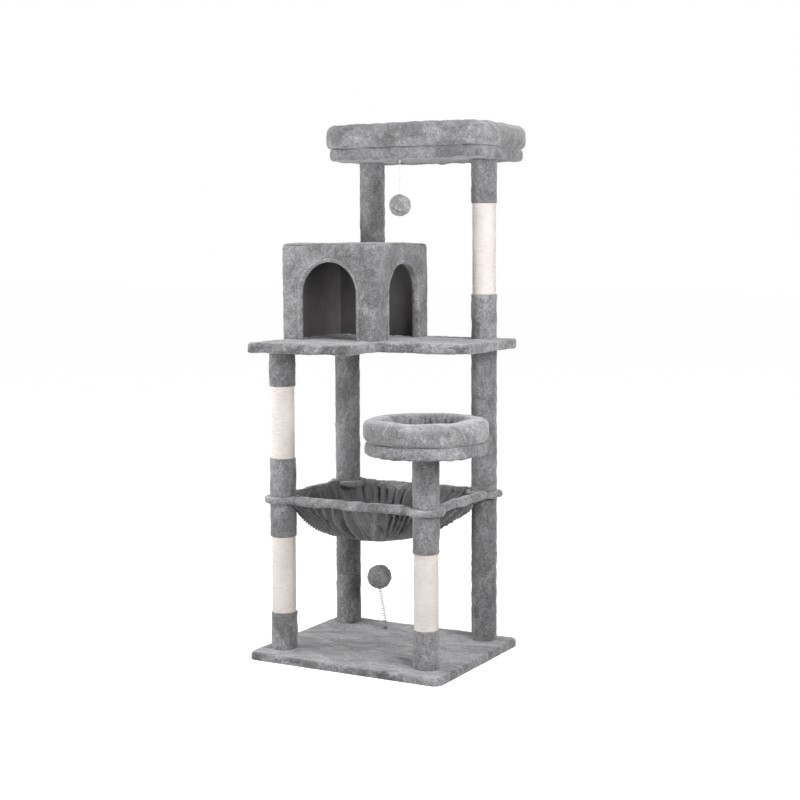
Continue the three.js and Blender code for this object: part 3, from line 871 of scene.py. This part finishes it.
def corner_tucks(piece, low, high):
    """Where the stuffed tube turns a corner, its inner side crumples into short tucks."""
    depth, inward = 1.8 * MM, 60 * MM
    points = coordinates(piece)
    push = np.zeros(len(points))
    for x, toward_x in ((low[0], inward), (high[0], -inward)):
        for y in (low[1] + inward, high[1] - inward):
            away = points[:, :2] - (x + toward_x, y)
            reach = np.linalg.norm(away, axis=1)
            angle = np.arctan2(away[:, 1], away[:, 0])
            near = np.exp(-((reach - 12 * MM) / (26 * MM)) ** 2)
            push += near * depth * np.sin(angle * 9 + x * 70)
    push_out(piece, push)


# ---- Condo ----
def arch_points(radius, top, floor, steps=40):
    """(across, z) along a doorway's edge, from its left foot over the arch to its right foot."""
    spring = top - radius
    legs = np.linspace(floor, spring, 16)
    arc = [(-radius * math.cos(a), spring + radius * math.sin(a)) for a in np.linspace(0, math.pi, steps)]
    return np.array([(-radius, z) for z in legs[:-1]] + arc + [(radius, z) for z in legs[::-1][1:]])


def doorway_prism(name, arch, low, high):
    rings = [[(x, depth, z) for x, z in arch] for depth in (low, high)]
    return new_piece(name, *loft(rings), smooth=False)


def doorway_rim(name, arch, outer_face, seed):
    """The plush rolled round a doorway's edge, as a soft band that wraps the panel."""
    along = np.gradient(arch, axis=0)
    along /= np.linalg.norm(along, axis=1)[:, None]
    outward = np.stack([-along[:, 1], along[:, 0]], 1)
    section = rounded_section(20, upper=0.8, lower=0.8)
    inside, reach, proud = 0.8 * MM, 9.5 * MM, 5 * MM
    rings = []
    for point, out in zip(arch, outward):
        ring = []
        for c, s in section:
            across = (reach - inside) / 2 + c * (reach + inside) / 2
            depth = (CONDO_WALL - proud) / 2 + s * (CONDO_WALL + proud) / 2
            ring.append((point[0] + out[0] * across, outer_face + depth, point[1] + out[1] * across))
        rings.append(ring)
    rim = new_piece(name, *loft(rings))
    roughen(rim, 0.35 * MM, 22 * MM, seed)
    return rim


def add_condo():
    low, high = box("condo_cover")
    skin = 3.5 * MM
    shell = soft_slab("condo_cover_plush", rectangle(low, high, 18 * MM), low[2] - TRIM, high[2],
                      edge=13 * MM, under=0.5 * MM)
    remesh(shell, 5 * MM, relax=2)
    roughen(shell, 0.8 * MM, 110 * MM, 51)
    roughen(shell, 0.3 * MM, 18 * MM, 52)
    bulge_walls(shell, low, high)
    boolean(shell, block("below_walls", (-1, -1, low[2] - 2 * TRIM), (1, 1, low[2] - GAP)))
    room = soft_slab("room", rectangle(low + skin, high - skin, 15 * MM), low[2] - TRIM,
                     high[2] - skin, edge=9 * MM, under=0.5 * MM)
    boolean(shell, room)

    sill = box("platform_cover")[1][2] - 3 * MM
    quarter_turn = Matrix.Rotation(math.pi / 2, 4, "Z")
    doorways = [
        ("front", FRONT_DOOR, low[1], Matrix.Translation((FRONT_DOOR[2], 0, 0)), 53),
        ("side", SIDE_DOOR, -high[0], Matrix.Translation((0, SIDE_DOOR[2], 0)) @ quarter_turn, 54),
    ]
    for name, (radius, top, _), face, place, _ in doorways:
        arch = arch_points(radius, top, sill)
        cutter = doorway_prism(f"{name}_cut", arch, face - 20 * MM, face + CONDO_WALL + 10 * MM)
        cutter.data.transform(place)
        boolean(shell, cutter)
    shell.data.shade_smooth()
    shell.data.set_sharp_from_angle(angle=math.radians(50))
    finish_piece(shell, "plush", ["condo_cover"])

    for name, (radius, top, _), face, place, seed in doorways:
        rim = doorway_rim(f"condo_{name}_rim", arch_points(radius, top, sill), face, seed)
        rim.data.transform(place)
        # The rims take the lighter plush_soft rather than the condo's plush: painted highlight along the
        # rolled edges of the doorways
        finish_piece(rim, "plush_soft")


def bulge_walls(shell, low, high):
    """The plush stands a little off the middle of each wall."""
    most, skin = 2.2 * MM, 8 * MM
    points = coordinates(shell)
    rise = np.clip((points[:, 2] - low[2]) / (high[2] - low[2]), 0, 1)
    middle, half = (low + high) / 2, (high - low) / 2
    for axis, other in ((0, 1), (1, 0)):
        share = np.clip(1 - ((points[:, other] - middle[other]) / half[other]) ** 2, 0, 1)
        off = points[:, axis] - middle[axis]
        belly = most * np.sin(math.pi * rise) * share * (np.abs(off) > half[axis] - skin)
        points[:, axis] += np.sign(off) * belly
    set_coordinates(shell, points)


# ---- Round bed ----
def add_bed():
    centre, outer, bottom, top = round_box("bed_cover")
    edge, under, hub = 12 * MM, 7 * MM, 0.5 * MM
    flat = np.linspace(20 * MM, outer - edge - 4 * MM, 14)
    profile = [(hub, bottom)] + [(r, bottom) for r in flat] + lower_edge(outer, bottom, under, 8)
    profile += [(outer + MM, bottom + edge + 3 * MM)]
    profile += upper_edge(outer, top, edge, 8) + [(r, top) for r in flat[::-1]] + [(hub, top)]
    cover = new_piece("bed_cover_plush", *turned(profile, centre, 160))
    roughen(cover, 0.7 * MM, 45 * MM, 61)
    pucker(cover, bottom + 4 * MM, 0.8 * MM, 62)
    finish_piece(cover, "plush", ["bed_cover"])

    _, outer, bottom, top = round_box("bed_bolster")
    start = 2 * MM  # how much slimmer it is before it is blown up
    middle = ((outer + BED_HOLLOW) / 2, (bottom + top) / 2)
    half = ((outer - BED_HOLLOW) / 2 - start, (top - bottom) / 2)
    section = [(middle[0] + half[0] * across, middle[1] + (half[1] - start * (rise > 0)) * rise)
               for across, rise in bolster_section()]
    bolster = new_piece("bed_bolster_stuffed", *turned(section, centre, 96, closed=True))
    stuff(bolster, 6 * MM, pressure=4, most=5 * MM, floor=bottom)
    roughen(bolster, 0.8 * MM, 60 * MM, 64)
    gather_lining(bolster, centre, middle, 65)
    finish_piece(bolster, "plush_soft", ["bed_bolster"])

    _, radius, bottom, top = round_box("bed_pad")
    profile = [
        (hub, bottom), (radius * 0.5, bottom), (radius - 6 * MM, bottom), (radius - 2 * MM, bottom + 4 * MM),
        (radius - 3 * MM, top - 5 * MM), (radius * 0.85, top - 2.5 * MM),
        (radius * 0.4, top - MM), (hub, top - MM),
    ]
    pad = new_piece("bed_pad_stuffed", *turned(profile, centre, 64))
    stuff(pad, 5 * MM, pressure=3, most=3 * MM, floor=bottom)
    dent, skin = 1.6 * MM, 6 * MM
    points = coordinates(pad)
    share = np.clip((points[:, 2] - top + skin) / skin, 0, 1)
    points[:, 2] -= share * dent * (1 + waves(points, 38 * MM, 66)) * 0.5
    points[:, 2] = np.minimum(points[:, 2], top + 2 * MM)
    set_coordinates(pad, points)
    finish_piece(pad, "plush_soft", ["bed_pad"])


def gather_lining(piece, centre, middle, seed):
    """The lining is gathered into the hollow: upright folds on the ring's inner side."""
    depth, folds = 9 * MM, 13
    points = coordinates(piece)
    flat = points[:, :2] - centre[:2]
    radius = np.linalg.norm(flat, axis=1)
    angle = np.arctan2(flat[:, 1], flat[:, 0])
    circle = np.stack([np.cos(angle), np.sin(angle), np.zeros_like(angle)], 1)
    drift = 0.5 * waves(circle, 1.1, seed)
    fold = np.abs(np.sin(angle * folds + drift * 2.2)) ** 0.6
    small = 0.35 * waves(circle, 0.09, seed + 1)
    inner = np.clip((middle[0] - 4 * MM - radius) / (24 * MM), 0, 1)
    height = np.clip((points[:, 2] - middle[1]) / (26 * MM), 0, 1)
    share = inner * inner * (3 - 2 * inner) * (1 - 0.35 * height)
    push_out(piece, share * depth * (fold - 0.8 + small * 0.5))


# ---- Hammock ----
def stud_centres():
    names = ["front_left", "front_right", "back_right", "back_left"]
    return [centre_of(f"base_bolt_{name}")[:2] for name in names]


def side_curve(start, end, inward, clear, overhang, count):
    """The sling's rim between two posts: an arc inside each post and a straight run along the wire."""
    along = (end - start) / np.linalg.norm(end - start)
    lowest = -math.asin(overhang / clear)
    arc = np.linspace(math.pi / 4, lowest, 9)
    first = [start + clear * (along * math.cos(a) + inward * math.sin(a)) for a in arc]
    last = [end + clear * (-along * math.cos(a) + inward * math.sin(a)) for a in arc[::-1]]
    knots = np.array(first + last)
    length = np.concatenate([[0], np.cumsum(np.linalg.norm(np.diff(knots, axis=0), axis=1))])
    at = np.linspace(0, length[-1], count)
    return np.stack([np.interp(at, length, knots[:, k]) for k in (0, 1)], 1)


def add_sling(studs):
    """A cloth cut larger than the frame, pinned round its rim and let down under its own weight."""
    clear, overhang = 43 * MM, 9 * MM
    columns, rows = ((97, 77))
    sides = [(0, 1, (0, 1), columns), (1, 2, (-1, 0), rows), (3, 2, (0, -1), columns), (0, 3, (1, 0), rows)]
    front, right, back, left = [
        side_curve(studs[start], studs[end], np.array(inward), clear, overhang, count)
        for start, end, inward, count in sides
    ]
    u = np.linspace(0, 1, columns)[None, :, None]
    v = np.linspace(0, 1, rows)[:, None, None]
    grid = (1 - v) * front[None] + v * back[None] + (1 - u) * left[:, None] + u * right[:, None]
    grid -= ((1 - u) * (1 - v) * front[0] + u * (1 - v) * front[-1]
             + (1 - u) * v * back[0] + u * v * back[-1])
    flat = grid.reshape(-1, 2)
    index = np.arange(rows * columns).reshape(rows, columns)
    faces = [tuple(int(k) for k in quad) for quad in np.stack(
        [index[:-1, :-1], index[:-1, 1:], index[1:, 1:], index[1:, :-1]], -1).reshape(-1, 4)]
    place = np.stack(np.broadcast_arrays(2 * u - 1, 2 * v - 1, 0.0), -1).reshape(-1, 3)
    depth = HEM_LEVEL - box("hammock_sling")[0][2] - CLOTH / 2
    bowl = dish(place)
    sling = new_piece("hammock_cloth", np.column_stack([flat, HEM_LEVEL - 0.5 * depth * bowl]), faces)
    store_vectors(sling, "place", place)
    rim = index[[0, -1]].ravel().tolist() + index[:, [0, -1]].ravel().tolist()
    hang(sling, rim, frames=45)
    # What the fall has folded is kept, on the depth that the cloth is cut for
    points = coordinates(sling)
    drop = (HEM_LEVEL - points[:, 2]).reshape(rows, columns)
    fold = drop - smooth_grid(drop, 12)
    points[:, 2] = HEM_LEVEL - depth * bowl - FOLD_SHARE * fold.ravel()
    set_coordinates(sling, points)
    subdivide(sling)
    gather_sling(sling, flat, depth)
    modify(sling, "SOLIDIFY", thickness=CLOTH, offset=0)
    sling.data.shade_smooth()
    # plush_sling is the darker copy of the plush, which paints the shade of the hollow
    finish_piece(sling, "plush_sling", ["hammock_sling"])


def dish(place):
    """How deep the sling is, as a share of its depth, at (across, along) from -1 to 1."""
    across = place[:, 0] + SLING_SHIFT * (1 - place[:, 0] ** 2)
    out = (np.abs(across) ** 2.2 + np.abs(place[:, 1]) ** 2.2) ** (1 / 2.2)
    reach, share = np.array(SLING_PROFILE).T
    return np.interp(np.minimum(out, 1), reach, share)


def smooth_grid(values, times):
    for _ in range(times):
        padded = np.pad(values, 1, mode="edge")
        values = (padded[:-2, 1:-1] + padded[2:, 1:-1] + padded[1:-1, :-2] + padded[1:-1, 2:]
                  + 4 * values) / 8
    return values


def gather_sling(sling, flat, depth):
    """Gathers start at the hem, run down the sides of the hollow and die out at its bottom."""
    place = vectors(sling.data.attributes["place"].data, "vector")
    half = (flat.max(0) - flat.min(0)) / 2
    out = np.maximum(np.abs(place[:, 0]), np.abs(place[:, 1]))
    x, y = (place[:, :2] / np.maximum(out, 1e-6)[:, None] * half).T
    on_side = np.abs(x) / half[0] > np.abs(y) / half[1]
    round_rim = 4 * half.sum()
    along = np.where(on_side, np.where(x > 0, half[1] + y, 3 * half[1] + 2 * half[0] - y),
                     np.where(y > 0, 2 * half[1] + half[0] - x, 4 * half[1] + 3 * half[0] + x))
    turn = 2 * math.pi * along / round_rim
    circle = np.stack([np.cos(turn), np.sin(turn), out * 0.35], 1)
    count = round(round_rim / PLEAT)
    phase = turn * count / 2 + 1.1 * waves(circle, 0.7, 72)
    ridge = (np.sin(phase) ** 2 + 0.004) ** 0.4
    reach = np.clip((1 - out) / 0.10, 0, 1) * np.clip((out - 0.3) / 0.35, 0, 1)
    uneven = 0.75 + 0.3 * waves(circle, 0.25, 73)
    push = PLEAT_DEPTH * (ridge - 0.6) * reach * uneven
    push += 4 * MM * waves(circle * (1, 1, 3), 0.45, 74) * reach
    points = coordinates(sling)
    inward = normals(sling)
    inward *= np.sign(inward[:, 2].mean())
    points += inward * push[:, None]
    sunk = np.clip((HEM_LEVEL - points[:, 2]) / depth, 0, 1) ** 2
    points[:, 1] += sunk * SLING_LEAN
    points[:, 2] = np.maximum(points[:, 2], HEM_LEVEL - depth)
    set_coordinates(sling, points)


def hang(piece, pinned, frames):
    """Lets a sheet hang from its pinned points."""
    group = piece.vertex_groups.new(name="pinned")
    group.add(sorted(set(pinned)), 1.0, "REPLACE")
    modifier = piece.modifiers.new("cloth", "CLOTH")
    settings = modifier.settings
    settings.vertex_group_mass = "pinned"
    settings.quality = 6
    settings.mass = 0.4
    settings.air_damping = 3
    settings.tension_stiffness = settings.compression_stiffness = 25
    settings.shear_stiffness = 8
    settings.bending_stiffness = 3
    settings.shrink_min = -CLOTH_SPARE
    modifier.collision_settings.use_collision = False
    run_cloth(piece, modifier, frames)
    piece.vertex_groups.clear()


def add_hem(studs):
    """The padded band round the wire, with a flat ear round each stud."""
    low, high = HEM_LEVEL - HEM_HALF, HEM_LEVEL + HEM_HALF
    wire, half = 14 * MM, 11 * MM  # how far the wire is outside the studs, and half the band's width
    out, into = wire + half, wire - half
    hem = soft_slab("hammock_hem", rectangle(studs[0] - out, studs[2] + out, 26 * MM),
                    low, high, edge=8 * MM, under=8 * MM)
    mouth = soft_slab("mouth", rectangle(studs[0] - into, studs[2] + into, 6 * MM),
                      low - 20 * MM, high + 20 * MM, edge=MM, under=MM)
    boolean(hem, mouth)
    bottom, top = HEM_LEVEL - EAR_HALF, HEM_LEVEL + EAR_HALF
    edge, hub = 7 * MM, 0.5 * MM
    profile = [(hub, bottom)] + lower_edge(EAR_RADIUS, bottom, edge, 6)
    profile += upper_edge(EAR_RADIUS, top, edge, 6) + [(hub, top)]
    for number, stud in enumerate(studs):
        ear = new_piece(f"ear_{number}", *turned(profile, stud, 48))
        boolean(hem, ear, "UNION")
    remesh(hem, 3.5 * MM, relax=5)
    points = coordinates(hem)
    near = np.min([np.linalg.norm(points[:, :2] - stud, axis=1) for stud in studs], axis=0)
    free = np.clip((near - 37 * MM) / (10 * MM), 0, 1)
    push = 0.5 * MM * waves(points, 42 * MM, 81) + 0.4 * MM * waves(points, 15 * MM, 82)
    push -= 2.6 * MM * np.exp(-((near - 57 * MM) / (4 * MM)) ** 2)  # gathered where an ear begins
    points += normals(hem) * (push * free)[:, None]
    ear = np.exp(-((near - 52 * MM) / (7 * MM)) ** 2)
    points[:, 2] += (free * 0.9 * MM * waves(points, 80 * MM, 83)
                     + ear * 1.6 * MM * waves(points, 24 * MM, 84))
    clamped = np.clip(points[:, 2], bottom, top)  # what lies between two segments of a post
    points[:, 2] = np.where(near < 40 * MM, clamped, points[:, 2])
    set_coordinates(hem, points)
    finish_piece(hem, "plush_soft")


# ---- Stage ----
def add_stage():
    floor_mesh = block("floor", (-30, -30, -0.02), (30, 30, 0))
    floor_mesh.data.materials.append(floor_material())
    world = bpy.data.worlds.new("studio")
    SCENE.world = world
    world.use_nodes = True
    tree = world.node_tree
    background = tree.nodes["Background"]
    seen = add_node(tree, "ShaderNodeLightPath").outputs["Is Camera Ray"]
    strength = add_node(tree, "ShaderNodeMapRange", {"Value": seen, "To Min": 0.28, "To Max": 1.0})
    background.inputs["Color"].default_value = (1, 1, 1, 1)
    tree.links.new(strength.outputs["Result"], background.inputs["Strength"])

    add_softbox("right", 40, 1.2, (1.48, -0.72, 1.30))
    add_softbox("left", 24, 1.2, (-1.20, -0.62, 1.00))
    add_softbox("front", 23, 0.8, (-0.50, -2.60, 0.50))
    add_softbox("back", 16, 1.5, (0.30, 2.60, 1.50))
    add_softbox("top", 100, 3.0, (0, -0.40, 4.50))
    SCENE.view_settings.view_transform = "Standard"


def add_softbox(name, watts, size, place):
    """A square studio light that faces the middle of the cat tree and isn't seen itself."""
    data = bpy.data.lights.new(name, "AREA")
    data.energy = watts
    data.size = size
    light = bpy.data.objects.new(name, data)
    SCENE.collection.objects.link(light)
    light.location = place
    light.rotation_euler = (Vector(place) - Vector(LIGHTS_FACE)).to_track_quat("Z", "Y").to_euler()
    light.visible_camera = False


def floor_material():
    material, tree, shader = node_material("floor")
    tone = noise(tree, place_of(tree), 3, 2)
    paint(tree, shader, FLOOR, spread(tree, tone, 0.2, 0.8, 0.985, 1.015))
    shader.inputs["Roughness"].default_value = 0.9
    # Only what the camera sees is lifted to white, so that undersides aren't lit by the floor
    seen = add_node(tree, "ShaderNodeLightPath").outputs["Is Camera Ray"]
    tree.links.new(product(tree, seen, 0.88), shader.inputs["Emission Strength"])
    shader.inputs["Emission Color"].default_value = (1, 1, 1, 1)
    return material


add_camera()
MATERIALS = make_materials()
add_toy_string()
add_balls()
add_spring()
add_posts()
add_base_cover()
add_platform_cover()
add_perch()
add_condo()
add_bed()
add_sling(stud_centres())
add_hem(stud_centres())
dress_cad_nodes()
add_stage()

bpy.context.view_layer.update()
